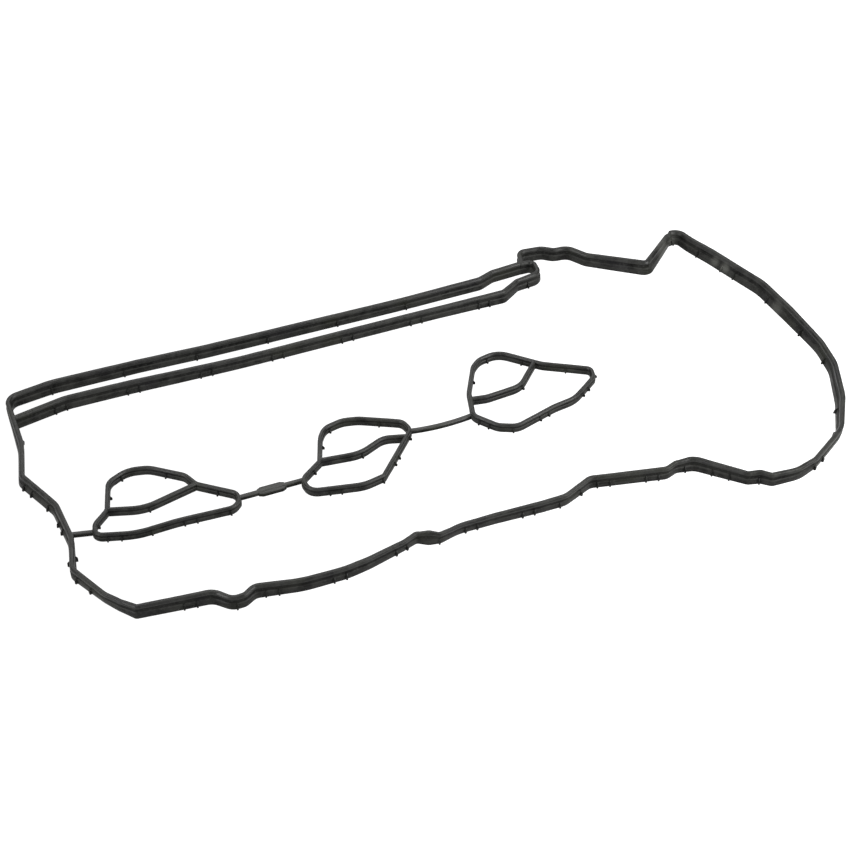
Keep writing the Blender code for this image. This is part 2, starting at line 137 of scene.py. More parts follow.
class Heading(Enum):
    """Direction in plan in which a nib's place is carried onto its wall."""

    TO_LEFT = (-1.0, 0.0)
    TO_RIGHT = (1.0, 0.0)
    TO_FRONT = (0.0, -1.0)
    TO_BACK = (0.0, 1.0)

    def ray(self, line: float, place: float) -> tuple[Vector, Vector]:
        """Start and direction of the ray for a place measured from a line of the plan.

        Args:
            line: The reference line's coordinate, in metres.
            place: The distance from that line, in metres.

        Returns:
            The ray's starting point and its unit direction.
        """
        along_x = self.value[0] == 0.0
        start = Vector((line + place, 0.0)) if along_x else Vector((0.0, line + place))
        return start, Vector(self.value)


class FinishAndPaintedLight(Enum):
    """Finishes of the moulding's faces, numbered as the slots of its meshes: all but the wall's are
    painted shade or painted highlight.
    """

    WALL = 0
    GROOVE = 1
    LEDGE = 2
    BEAD = 3
    NIB = 4
    FOOT = 5
    LINK = 6


@dataclass(frozen=True)
class Fillet:
    """A tangent arc that rounds one corner of a line in a plane."""

    radius: float
    widest_turn: float
    widest_step: float = math.inf

    def points(self, before: Vector, corner: Vector, after: Vector) -> list[Vector]:
        """Points of the arc between the two straight runs.

        Args:
            before: The corner ahead of this one.
            corner: The corner that is rounded.
            after: The corner that follows.

        Returns:
            The arc's points, from the first run to the second.
        """
        back, ahead = before - corner, after - corner
        turn = math.pi - back.angle(ahead)
        reach = min(self.radius * math.tan(turn / 2), back.length / 2, ahead.length / 2)
        radius = reach / math.tan(turn / 2)
        bisector = (back.normalized() + ahead.normalized()).normalized()
        centre = corner + bisector * math.hypot(reach, radius)
        spoke = corner + back.normalized() * reach - centre
        side = 1 if back.cross(ahead) < 0 else -1
        facets = max(1, math.ceil(turn / min(self.widest_turn, self.widest_step / radius)))
        points = []
        for k in range(facets + 1):
            swing = side * turn * k / facets
            cos, sin = math.cos(swing), math.sin(swing)
            swung = Vector((spoke.x * cos - spoke.y * sin, spoke.x * sin + spoke.y * cos))
            points.append(centre + swung)
        return points


@dataclass(frozen=True)
class Profile:
    """Section of a wall, the same on both sides.

    Each corner holds the half width, the height and the edge's radius in millimetres, from the
    foot up, and the finish of the face above it, which is painted shade or painted highlight on all
    but the wall. The corner above the foot is on the widest part, which the nibs stand on, and the
    shoulder is where that part ends.
    """

    corners: tuple[tuple[float, float, float, FinishAndPaintedLight], ...]
    shoulder: float

    def height(self) -> float:
        """Height of the crown above the foot, in metres."""
        return self.corners[-1][1] * MM

    def outline(self) -> list[tuple[Vector, FinishAndPaintedLight]]:
        """Closed outline of the section, with each edge rounded.

        Returns:
            Points as (across, height) in metres, up the left side and down the right one, each
            with the finish, and so the painted light, of the face that follows it.
        """
        up = []
        for half, height, edge, finish_and_light in self.corners:
            up.append((Vector((-half, height)) * MM, edge * MM, finish_and_light))
        below = [FinishAndPaintedLight.WALL] + [corner[-1] for corner in self.corners[:-1]]
        down = []
        for (place, edge, _), finish_and_light in zip(up, below):
            down.append((Vector((-place.x, place.y)), edge, finish_and_light))
        ring = up + down[::-1]
        points = []
        for i, (corner, radius, finish_and_light) in enumerate(ring):
            before, after = ring[i - 1], ring[(i + 1) % len(ring)]
            arc = Fillet(radius, EDGE_TURN).points(before[0], corner, after[0])
            for k, place in enumerate(arc):
                points.append((place, before[-1] if k < len(arc) // 2 else finish_and_light))
        return points


# Each face's finish carries painted light: the foot, the groove and the bead's underside are darker as
# painted shade, the ledge and the bead lighter as painted highlight.
RING_PROFILE = Profile(
    corners=(
        (1.4, 0.0, 0.15, FinishAndPaintedLight.FOOT),
        (1.8, 0.5, 0.25, FinishAndPaintedLight.WALL),
        (1.8, 3.7, 0.15, FinishAndPaintedLight.LEDGE),
        (1.25, 4.3, 0.2, FinishAndPaintedLight.GROOVE),
        (1.25, 6.1, 0.2, FinishAndPaintedLight.GROOVE),
        (1.55, 6.5, 0.15, FinishAndPaintedLight.BEAD),
        (1.55, 7.3, 0.35, FinishAndPaintedLight.BEAD),
        (1.0, 8.3, 0.4, FinishAndPaintedLight.BEAD),
    ),
    shoulder=3.7,
)
LOOP_PROFILE = Profile(
    corners=(
        (1.15, 0.0, 0.12, FinishAndPaintedLight.FOOT),
        (1.5, 0.4, 0.2, FinishAndPaintedLight.WALL),
        (1.5, 2.3, 0.15, FinishAndPaintedLight.LEDGE),
        (1.0, 2.8, 0.15, FinishAndPaintedLight.GROOVE),
        (1.0, 3.7, 0.15, FinishAndPaintedLight.GROOVE),
        (1.25, 4.05, 0.12, FinishAndPaintedLight.BEAD),
        (1.25, 4.5, 0.25, FinishAndPaintedLight.BEAD),
        (0.8, 5.2, 0.3, FinishAndPaintedLight.BEAD),
    ),
    shoulder=2.4,
)
# The link's lower sides take the darker groove colour, a painted shade, and its upper edges and top the
# lighter link colour, a painted highlight.
LINK_PROFILE = Profile(
    corners=(
        (1.5, 0.0, 0.15, FinishAndPaintedLight.GROOVE),
        (1.5, 1.9, 0.2, FinishAndPaintedLight.LINK),
        (1.1, 2.4, 0.3, FinishAndPaintedLight.LINK),
    ),
    shoulder=1.9,
)


@dataclass(frozen=True)
class Run:
    """Corners of a wall's centreline, in millimetres from a point of the plan.

    Each corner holds X, Y, the radius of its arc and how far the crown leans out past the foot.
    """

    x: float
    y: float
    corners: tuple[PlanCorner, ...]


@dataclass(frozen=True)
class Station:
    """A point of a wall's centreline at the foot, with the crown's lean there."""

    point: Vector
    lean: float


@dataclass(frozen=True)
class Hit:
    """Where a ray meets a wall: the point, the wall's direction and its lean."""

    point: Vector
    along: Vector
    lean: float


@dataclass(frozen=True)
class Unevenness:
    """How a soft moulding strays from its drawing: slow sway and short swelling."""

    sway: float = 0.14 * MM
    sway_length: float = 26.0 * MM
    swell: float = 0.05 * MM
    swell_length: float = 6.0 * MM
    rise: float = 0.07 * MM

    def sideways(self, place: Vector) -> float:
        """How far the wall strays sideways at a place, in metres."""
        return self.sway * noise.noise(Vector((place.x, place.y, 0.0)) / self.sway_length)

    def widening(self, place: Vector, height: float) -> float:
        """How much the half width grows at a place and height, in metres."""
        return self.swell * noise.noise(Vector((place.x, place.y, height)) / self.swell_length)

    def lifting(self, place: Vector) -> float:
        """How much the crown rises at a place, in metres."""
        return self.rise * noise.noise(Vector((place.y, place.x, self.sway_length)) / self.swell_length)


@dataclass
class Wall:
    """An upright wall swept along its centreline, open or closed."""

    name: str
    runs: tuple[Run, ...]
    profile: Profile
    closed: bool
    carrier: "Wall | None" = None
    uneven: Unevenness = Unevenness()
    stations: list[Station] = field(default_factory=list)

    def __post_init__(self) -> None:
        """Lays out the stations, and sets an open wall's ends on the wall that carries it."""
        corners = []
        for run in self.runs:
            for x, y, *rest in run.corners:
                radius, lean = (*rest, 0.0)[:2]
                place = PLAN_SHIFT + Vector((run.x + x * MM, run.y + y * MM))
                corners.append((place, radius * MM, lean * MM))
        turned = []
        count = len(corners)
        for i, (point, radius, lean) in enumerate(corners):
            rounded = [point]
            if radius and (self.closed or 0 < i < count - 1):
                before, after = corners[i - 1][0], corners[(i + 1) % count][0]
                rounded = Fillet(radius, ARC_TURN, STATION_STEP).points(before, point, after)
            turned += [Station(place, lean) for place in rounded]
        if self.carrier:
            for end in (0, -1):
                turned[end] = Station(self.carrier.nearest(turned[end].point), turned[end].lean)
        self.stations = turned
        filled = []
        for near, far in self.spans():
            steps = max(1, math.ceil((far.point - near.point).length / STATION_STEP))
            for k in range(steps):
                share = k / steps
                lean = near.lean + (far.lean - near.lean) * share
                filled.append(Station(near.point.lerp(far.point, share), lean))
        if not self.closed:
            filled.append(turned[-1])
        self.stations = filled

    def spans(self) -> list[tuple[Station, Station]]:
        """Each stretch between neighbouring stations."""
        ahead = self.stations[1:] + self.stations[:1]
        pairs = [(near, far) for near, far in zip(self.stations, ahead) if near.point != far.point]
        return pairs if self.closed else pairs[: len(self.stations) - 1]

    def hit(self, start: Vector, heading: Vector) -> Hit:
        """The farthest place where a ray meets the wall's centreline.

        Args:
            start: The ray's starting point in plan.
            heading: Its direction.

        Returns:
            The place on the wall.

        Raises:
            ValueError: If the ray misses the wall.
        """
        found, farthest = None, 0.0
        for near, far in self.spans():
            run = far.point - near.point
            slant = heading.cross(run)
            if not slant:
                continue
            offset = near.point - start
            reach = offset.cross(run) / slant
            share = offset.cross(heading) / slant
            if 0 <= share <= 1 and reach > farthest:
                farthest = reach
                lean = near.lean + (far.lean - near.lean) * share
                found = Hit(near.point + run * share, run.normalized(), lean)
        if found is None:
            raise ValueError(f"a ray from {start} misses {self.name}")
        return found

    def nearest(self, point: Vector) -> Vector:
        """The point of the centreline that lies nearest to the given one."""
        places = []
        for near, far in self.spans():
            run = far.point - near.point
            share = (point - near.point).dot(run) / run.length_squared
            places.append(near.point + run * min(max(share, 0.0), 1.0))
        return min(places, key=lambda place: (place - point).length)

    def mitres(self) -> list[Vector]:
        """Sideways direction at each station, left of travel, lengthened at each bend."""
        points = [station.point for station in self.stations]
        count = len(points)
        sideways = []
        for i, point in enumerate(points):
            runs = []
            if self.closed or i > 0:
                runs.append((point - points[i - 1]).normalized())
            if self.closed or i < count - 1:
                runs.append((points[(i + 1) % count] - point).normalized())
            normals = [Vector((-run.y, run.x)) for run in runs]
            middle = (normals[0] + normals[-1]).normalized()
            sideways.append(middle / middle.dot(normals[0]))
        return sideways

    def sweep(self) -> SceneObject:
        """The wall as a mesh: its section at each station, joined round.

        Returns:
            The wall's object.
        """
        outline = self.profile.outline()
        total = self.profile.height()
        bm = bmesh.new()
        slices = []
        for station, sideways in zip(self.stations, self.mitres()):
            sway = self.uneven.sideways(station.point)
            rise = self.uneven.lifting(station.point)
            ring = []
            for (across, height), _ in outline:
                share = height / total
                swell = self.uneven.widening(station.point, height) * math.copysign(1.0, across)
                place = station.point + sideways * (across + swell + sway + station.lean * share)
                ring.append(bm.verts.new((place.x, place.y, height + rise * share)))
            slices.append(ring)
        pairs = list(zip(slices, slices[1:]))
        if self.closed:
            pairs.append((slices[-1], slices[0]))
        else:
            bm.faces.new(slices[0])
            bm.faces.new(slices[-1])
        for near, far in pairs:
            for k, (_, finish_and_light) in enumerate(outline):
                after = (k + 1) % len(outline)
                face = bm.faces.new((near[k], near[after], far[after], far[k]))
                face.material_index = finish_and_light.value
        return Moulding.object_of(self.name, bm)


@dataclass(frozen=True)
class Nib:
    """A retention rib: upright from the foot's edge, sloping back to the wall above."""

    width: float = 1.2 * MM
    reach: float = 1.3 * MM
    slope: float = 0.8 * MM
    bite: float = 0.35 * MM
    edge: float = 0.16 * MM
    edge_facets: int = 2
    taper: float = 0.25
    spread: float = 7.3 * MM

    def add(self, bm: BMesh, wall: Wall, hit: Hit, face: Face) -> None:
        """Adds one nib to a mesh.

        Args:
            bm: The mesh that holds the nibs.
            wall: The wall that the nib stands on.
            hit: Its place on the wall.
            face: The wall's face that it stands on.
        """
        outward = Vector((-hit.along.y, hit.along.x)) * face.value
        half, foot = (length * MM for length in wall.profile.corners[1][:2])
        shoulder = wall.profile.shoulder * MM
        root, tip = half - self.bite, half + self.reach
        profile = (
            (root, foot),
            (tip - self.edge, foot),
            (tip, foot + self.edge),
            (tip, shoulder - self.slope),
            (root, shoulder + self.slope),
        )
        ends = []
        for side in (-1, 1):
            corners = []
            for out, height in profile:
                lean = hit.lean * face.value * height / wall.profile.height()
                narrowing = 1.0 - self.taper * (out - root) / (tip - root)
                along = hit.along * (side * self.width / 2 * narrowing)
                place = hit.point + along + outward * (out + lean)
                corners.append(bm.verts.new((place.x, place.y, height)))
            ends.append(corners)
        faces = [bm.faces.new(corners) for corners in ends]
        for k in range(len(profile)):
            after = (k + 1) % len(profile)
            faces.append(bm.faces.new((ends[0][k], ends[0][after], ends[1][after], ends[1][k])))
        edges = list({edge for each in faces for edge in each.edges})
        soften(bm, edges, self.edge, self.edge_facets)


@dataclass(frozen=True)
class NibRow:
    """Nibs on one face of a wall, at places measured in millimetres from a line of the plan."""

    line: float
    places: tuple[float, ...]
    heading: Heading
    face: Face
    paired: bool = False

    def hits(self, wall: Wall, spread: float) -> list[tuple[Hit, Face]]:
        """Where the row's nibs stand.

        Args:
            wall: The wall that carries them.
            spread: How far apart the two nibs of a pair stand.

        Returns:
            Each nib's place with its face.
        """
        shifts = (-spread / 2, spread / 2) if self.paired else (0.0,)
        found = []
        for place in self.places:
            for shift in shifts:
                start, ray = self.heading.ray(self.line, place * MM + shift)
                found.append((wall.hit(start + PLAN_SHIFT, ray), self.face))
        return found


@dataclass
class Moulding:
    """A sub-assembly of the moulding: the meshes that it builds and then dresses."""

    shapes: list[SceneObject] = field(default_factory=list, kw_only=True)

    @staticmethod
    def object_of(name: str, bm: BMesh) -> SceneObject:
        """An object holding the mesh, with its faces turned out.

        Args:
            name: The object's name.
            bm: The mesh, which is freed.

        Returns:
            The new object, in the scene.
        """
        bmesh.ops.recalc_face_normals(bm, faces=bm.faces)
        mesh = bpy.data.meshes.new(name)
        bm.to_mesh(mesh)
        bm.free()
        return placed(name, mesh)

    def add_wall(self, wall: Wall) -> None:
        """Sweeps a wall and keeps its mesh."""
        self.shapes.append(wall.sweep())

    def add_nibs(self, name: str, groups: list[tuple[Wall, list[tuple[Hit, Face]]]]) -> None:
        """Builds the nibs of some walls as one mesh, in the nibs' own finish, a darker painted shade.

        Args:
            name: The mesh's name.
            groups: Each wall with its nibs' places.
        """
        bm = bmesh.new()
        for wall, hits in groups:
            for hit, face in hits:
                Nib().add(bm, wall, hit, face)
        # The nibs take the darker nib colour, a painted shade.
        for each in bm.faces:
            each.material_index = FinishAndPaintedLight.NIB.value
        self.shapes.append(self.object_of(name, bm))

    def dress(self, materials: dict[FinishAndPaintedLight, bpy.types.Material]) -> None:
        """Gives the meshes the moulding's materials, in the order of their slots.

        Args:
            materials: The material of each finish, with its painted shade or painted highlight.
        """
        for shape in self.shapes:
            for finish_and_light in FinishAndPaintedLight:
                shape.data.materials.append(materials[finish_and_light])


@dataclass
class Ring(Moulding):
    """The outer wall with its second back rail and hairpin, and the nibs on both."""

    pairs: int = 7
    singles: int = 6
    first_nib: float = 33.0
    nib_pitch: float = 45.5

    def rail_places(self, count: int) -> tuple[float, ...]:
        """Where nibs stand along a rail, in millimetres from the left end."""
        return tuple(self.first_nib + self.nib_pitch * k for k in range(count))

    def wall(self) -> Wall:
        """The outer wall, clockwise from above."""
        back_left = (
            (5.8, -1.1, 8, 0.8),
            (34.5, 3.2, 50, 1.2),
            (87.0, 3.5, 200, 0.5),
            (130.0, 2.2, 200, 0.2),
        )
        back_right = (
            (-215.0, 2.5, 300, -0.2),
            (-158.5, 4.0, 8, 0.4),
            (-148.5, 8.5, 8, 0.0),
            (-126.5, 9.9, 2.6, 0.4),
            (-123.5, 21.5, 4, 0.6),
            (-109.0, 20.0, 8, 0.6),
            (-103.0, 15.0, 8, 0.8),
            (-93.5, 14.0, 8, 0.9),
            (-86.5, 2.5, 8, 1.0),
            (-54.2, -22.4, 5, 2.4),
            (-29.5, 2.0, 5, 0.5),
            (-22.0, 3.2, 4.6, 2.5),
            (-19.2, -8.0, 30, 2.7),
            (-12.7, -26.0, 60, 3.1),
        )
        right = (
            (0.4, 42.5, 40, 3.2),
            (3.0, 12.0, 60, 3.4),
            (5.4, -25.5, 50, 2.1),
            (2.2, -48.0, 40, 2.3),
        )
        front_right = (
            (-9.2, 33.5, 60, 2.9),
            (-23.0, 7.2, 24, 1.9),
            (-50.2, -12.7, 16, 1.5),
            (-63.3, -18.2, 20, 0.7),
            (-80.3, -18.0, 3, -0.1),
            (-85.5, -13.2, 3, -0.4),
            (-92.5, -11.5, 3, -0.1),
            (-115.0, 11.5, 10, -1.2),
            (-126.2, 13.9, 6, 0.5),
            (-133.7, 10.9, 5, 0.6),
        )
        front_middle = (
            (57.0, 20.4, 8, 0.8),
            (37.2, 11.3, 12, 1.3),
            (22.0, 11.0, 50, 1.6),
            (-5.0, 11.8, 60, 2.1),
            (-29.0, 11.6, 60, 2.5),
            (-40.4, 8.0, 5, 1.9),
            (-46.8, 8.9, 4, -0.8),
            (-52.8, 13.2, 4, 1.2),
            (-63.0, 9.5, 30, 1.9),
            (-84.5, 2.8, 60, 0.8),
        )
        front_left = (
            (136.0, -0.3, 60, 0.4),
            (109.4, -0.8, 60, 0.0),
            (83.2, 3.8, 7, -0.8),
            (75.6, -0.8, 6, -0.5),
            (68.7, -1.0, 7, -0.4),
            (60.4, 8.3, 9, -0.8),
            (18.0, 12.5, 1.5, -0.4),
            (11.6, 22.0, 25, 1.0),
            (6.9, 30.7, 30, 1.9),
        )
        left = (
            (-3.8, -53.8, 7, 0.8),
            (2.7, -27.0, 20, -0.3),
            (2.8, 3.0, 12, -0.6),
            (-7.8, 35.3, 8, -0.7),
            (0.3, 64.0, 40, -0.7),
        )
        runs = (
            Run(LEFT, BACK, back_left),
            Run(RIGHT, BACK, back_right),
            Run(RIGHT, CENTRE, right),
            Run(RIGHT, FRONT, front_right),
            Run(MIDDLE, FRONT, front_middle),
            Run(LEFT, FRONT, front_left),
            Run(LEFT, CENTRE, left),
        )
        return Wall("ring", runs, RING_PROFILE, closed=True)

    def rail(self, ring: Wall) -> Wall:
        """The second back rail, from the left wall to the hairpin that turns back into the ring."""
        start = (
            (3.1, -3.8, 0, 0.8),
            (37.2, 3.3, 40, 1.1),
            (75.0, 3.4, 100, 0.7),
            (145.3, 2.1, 200, -0.6),
        )
        end = (
            (-194.5, 4.2, 200, -0.5),
            (-149.8, 3.6, 5, 0.6),
            (-138.0, 11.9, 6, -0.2),
            (-120.0, 14.0, 7.2, 0.5),
        )
        hairpin = ((-120.0, 9.9, 7.2, 0.0), (-128.0, 9.6, 0, 0.0))
        runs = (
            Run(LEFT, SECOND_RAIL, start),
            Run(RIGHT, SECOND_RAIL, end),
            Run(RIGHT, BACK, hairpin),
        )
        return Wall("rail", runs, RING_PROFILE, closed=False, carrier=ring)

    def rows(self) -> tuple[list[NibRow], list[NibRow]]:
        """The rows of nibs on the ring, and those on the second rail."""
        out, into = Face.OUTSIDE, Face.INSIDE
        left, right, front, back = Heading
        ring_rows = [
            NibRow(LEFT, self.rail_places(self.pairs), back, out, paired=True),
            NibRow(LEFT, self.rail_places(self.singles), back, into),
            NibRow(RIGHT, (-26.1,), back, into),
            NibRow(LEFT, (47.6, 92.4, 130.7), front, out, paired=True),
            NibRow(MIDDLE, (-64.8, -21.0, 14.2, 65.0), front, out, paired=True),
            NibRow(RIGHT, (-142.0, -103.5, -48.6), front, out, paired=True),
            NibRow(LEFT, (70.8,), front, out),
            NibRow(MIDDLE, (-41.5, 33.6, 48.5), front, out),
            NibRow(RIGHT, (-121.0, -86.6), front, out),
            NibRow(CENTRE, (26.9, -12.5), left, out, paired=True),
            NibRow(CENTRE, (7.8, -44.1, -58.1), left, out),
            NibRow(FRONT, (40.7,), left, out),
            NibRow(CENTRE, (-40.5,), left, into),
            NibRow(BACK, (-38.8,), left, into),
            NibRow(BACK, (-16.5, -36.8, -47.3), right, into),
            NibRow(CENTRE, (31.8, -6.5, -37.6), right, into),
            NibRow(FRONT, (26.0, 6.5), right, into),
        ]
        rail_rows = [
            NibRow(LEFT, self.rail_places(self.pairs), back, into, paired=True),
            NibRow(RIGHT, (-130.4,), back, into),
        ]
        return ring_rows, rail_rows

    def build(self) -> Wall:
        """Sweeps the ring and the rail, and stands their nibs on them.

        Returns:
            The ring, which the first link bar starts from.
        """
        ring = self.wall()
        rail = self.rail(ring)
        self.add_wall(ring)
        self.add_wall(rail)
        ring_rows, rail_rows = self.rows()
        spread = Nib().spread
        groups = [(ring, [hit for row in ring_rows for hit in row.hits(ring, spread)])]
        groups.append((rail, [hit for row in rail_rows for hit in row.hits(rail, spread)]))
        self.add_nibs("ring_nibs", groups)
        return ring


@dataclass
class PlugWell(Moulding):
    """One plug-well loop with its divider, drawn about the well's own centre.

    Corners hold X, Y and the radius of the arc in millimetres. The loop's nibs are given as
    angles about the centre in degrees, and the divider's as its X from there.
    """

    number: int
    drift: float
    outline: tuple[PlanCorner, ...]
    divider: tuple[PlanCorner, ...]
    outer_nibs: tuple[float, ...]
    inner_nibs: tuple[float, ...]
    divider_nib: float
    first: float = 59.0 * MM
    pitch: float = 119.0 * MM

    def centre(self) -> Vector:
        """The well's centre in the plan."""
        return Vector((LEFT + self.first + self.pitch * (self.number - 1), self.drift * MM))

    def build(self) -> Wall:
        """Sweeps the loop and its divider, and stands their nibs on them.

        Returns:
            The loop, which link bars end on.
        """
        centre = self.centre()
        outline = Run(centre.x, centre.y, self.outline)
        loop = Wall(f"loop_{self.number}", (outline,), LOOP_PROFILE, closed=True)
        across = Run(centre.x, centre.y, self.divider)
        divider = Wall(f"divider_{self.number}", (across,), LOOP_PROFILE, closed=False, carrier=loop)
        self.add_wall(loop)
        self.add_wall(divider)
        middle = centre + PLAN_SHIFT
        hits = []
        for angles, face in ((self.outer_nibs, Face.OUTSIDE), (self.inner_nibs, Face.INSIDE)):
            for angle in map(math.radians, angles):
                hits.append((loop.hit(middle, Vector((math.cos(angle), math.sin(angle)))), face))
        foremost = min(station.point.y for station in divider.stations)
        start = Vector((middle.x + self.divider_nib * MM, foremost - Nib().spread))
        hit = divider.hit(start, Vector(Heading.TO_BACK.value))
        self.add_nibs(f"loop_{self.number}_nibs", [(loop, hits), (divider, [(hit, Face.INSIDE)])])
        return loop


WELLS = (
    PlugWell(
        number=1,
        drift=-6.3,
        outline=(
            (-41.8, -21.4, 4.5),
            (-40.5, -12.5, 10),
            (-29.7, -2.6, 8),
            (-21.7, 20.8, 10),
            (-8.0, 27.8, 18),
            (4.3, 24.9, 14),
            (21.4, 10.2, 8),
            (24.7, 0.5, 6),
            (43.3, -16.1, 5),
            (42.7, -22.8, 4),
            (37.6, -27.7, 7),
            (4.4, -26.4, 100),
            (-20.0, -27.9, 40),
        ),
        divider=((-28.5, -2.8, 0), (-9.5, -8.5, 25), (24.5, 0.5, 0)),
        outer_nibs=(213, 222, 247, 287, 300, 322),
        inner_nibs=(54, 118, 158, 196, 346),
        divider_nib=-6.6,
    ),
    PlugWell(
        number=2,
        drift=-12.8,
        outline=(
            (-37.0, -12.3, 8),
            (-21.9, -0.8, 4),
            (-13.6, 20.1, 14),
            (-8.6, 27.1, 12),
            (3.6, 30.3, 16),
            (13.2, 28.2, 20),
            (36.4, 15.5, 6),
            (38.1, 7.0, 6),
            (7.5, -27.2, 3),
            (-5.6, -30.2, 20),
            (-36.1, -23.9, 6.5),
        ),
        divider=((-21.5, 0.0, 0), (2.8, -2.5, 22), (20.2, 5.8, 12), (33.4, 1.8, 0)),
        outer_nibs=(5, 226, 236, 283, 318, 333),
        inner_nibs=(42, 102, 139, 191),
        divider_nib=3.6,
    ),
    PlugWell(
        number=3,
        drift=8.7,
        outline=(
            (-41.6, -16.6, 7),
            (-34.9, 6.5, 20),
            (-23.5, 27.5, 14),
            (-17.4, 32.7, 12),
            (-3.8, 35.6, 12),
            (16.0, 14.5, 20),
            (41.6, -1.3, 4),
            (39.6, -9.2, 6),
            (20.0, -24.0, 20),
            (5.6, -26.5, 30),
            (-21.8, -35.6, 10),
            (-32.1, -30.7, 10),
        ),
        divider=((-38.0, -1.0, 0), (-27.5, -2.8, 10), (-4.7, -0.7, 15), (13.0, 18.3, 0)),
        outer_nibs=(208, 217, 235, 259, 271, 325, 335, 352),
        inner_nibs=(13, 72, 110, 150),
        divider_nib=-3.5,
    ),
)


@dataclass
class LinkBar(Moulding):
    """A thin bar that ends on a loop: the Y of its ends from the wells' centres, and its bow."""

    name: str
    start: float
    end: float
    bow: float = 0.0
    steps: int = 24

    def ends(
        self, carrier: Wall, middle: Vector, heading: Heading, loop: Wall, centre: Vector
    ) -> list[Vector]:
        """Both ends of the bar, on the centrelines of the walls that it joins.

        Args:
            carrier: The wall that the bar starts from.
            middle: The plan point that the start is measured from.
            heading: The side of that point where the bar starts.
            loop: The loop that the bar ends on.
            centre: That loop's centre.

        Returns:
            The start and the end in plan.
        """
        start = carrier.hit(middle + Vector((0.0, self.start * MM)), Vector(heading.value))
        end = loop.hit(centre + Vector((0.0, self.end * MM)), Vector(Heading.TO_LEFT.value))
        return [start.point, end.point]

    def build(self, start: Vector, end: Vector) -> None:
        """Sweeps the bar between its ends, bowed sideways as a parabola.

        Args:
            start: Its start in plan.
            end: Its end in plan.
        """
        corners = []
        for k in range(self.steps + 1):
            share = k / self.steps
            rise = 1 - (2 * share - 1) ** 2
            place = start.lerp(end, share) + Vector((0.0, self.bow * MM * rise)) - PLAN_SHIFT
            corners.append((place.x / MM, place.y / MM, 0.0))
        self.add_wall(Wall(self.name, (Run(0.0, 0.0, tuple(corners)),), LINK_PROFILE, closed=False))


@dataclass
class Tag(Moulding):
    """The flat tag on the middle of a link bar: a plate with tapered ends and soft edges."""

    length: float = 17.0 * MM
    width: float = 6.8 * MM
    end_width: float = 4.2 * MM
    taper: float = 2.4 * MM
    thickness: float = 2.1 * MM
    edge: float = 0.3 * MM
    edge_facets: int = 3
    upward: float = 0.4

    def build(self, start: Vector, end: Vector) -> None:
        """Builds the plate halfway between the ends of its bar.

        Args:
            start: The bar's start in plan.
            end: The bar's end in plan.
        """
        along = (end - start).normalized()
        across = Vector((-along.y, along.x))
        middle = (start + end) / 2
        half = self.length / 2
        side = [(half, self.end_width / 2), (half - self.taper, self.width / 2)]
        side += [(-x, y) for x, y in reversed(side)]
        outline = side + [(x, -y) for x, y in reversed(side)]
        bm = bmesh.new()
        places = [middle + along * x + across * y for x, y in outline]
        base = bm.faces.new([bm.verts.new((place.x, place.y, 0.0)) for place in places])
        raised = bmesh.ops.extrude_face_region(bm, geom=[base])["geom"]
        lifted = [item for item in raised if isinstance(item, bmesh.types.BMVert)]
        bmesh.ops.translate(bm, verts=lifted, vec=(0, 0, self.thickness))
        bmesh.ops.recalc_face_normals(bm, faces=bm.faces)
        rims = [edge for edge in bm.edges if any(vert.co.z > 0 for vert in edge.verts)]
        soften(bm, rims, self.edge, self.edge_facets)
        bm.normal_update()
        # Faces turned up take the lighter link colour, a painted highlight, and the others the darker
        # groove colour, a painted shade.
        for face in bm.faces:
            finish_and_light = FinishAndPaintedLight.LINK if face.normal.z > self.upward else FinishAndPaintedLight.GROOVE
            face.material_index = finish_and_light.value
        self.shapes.append(self.object_of("tag", bm))


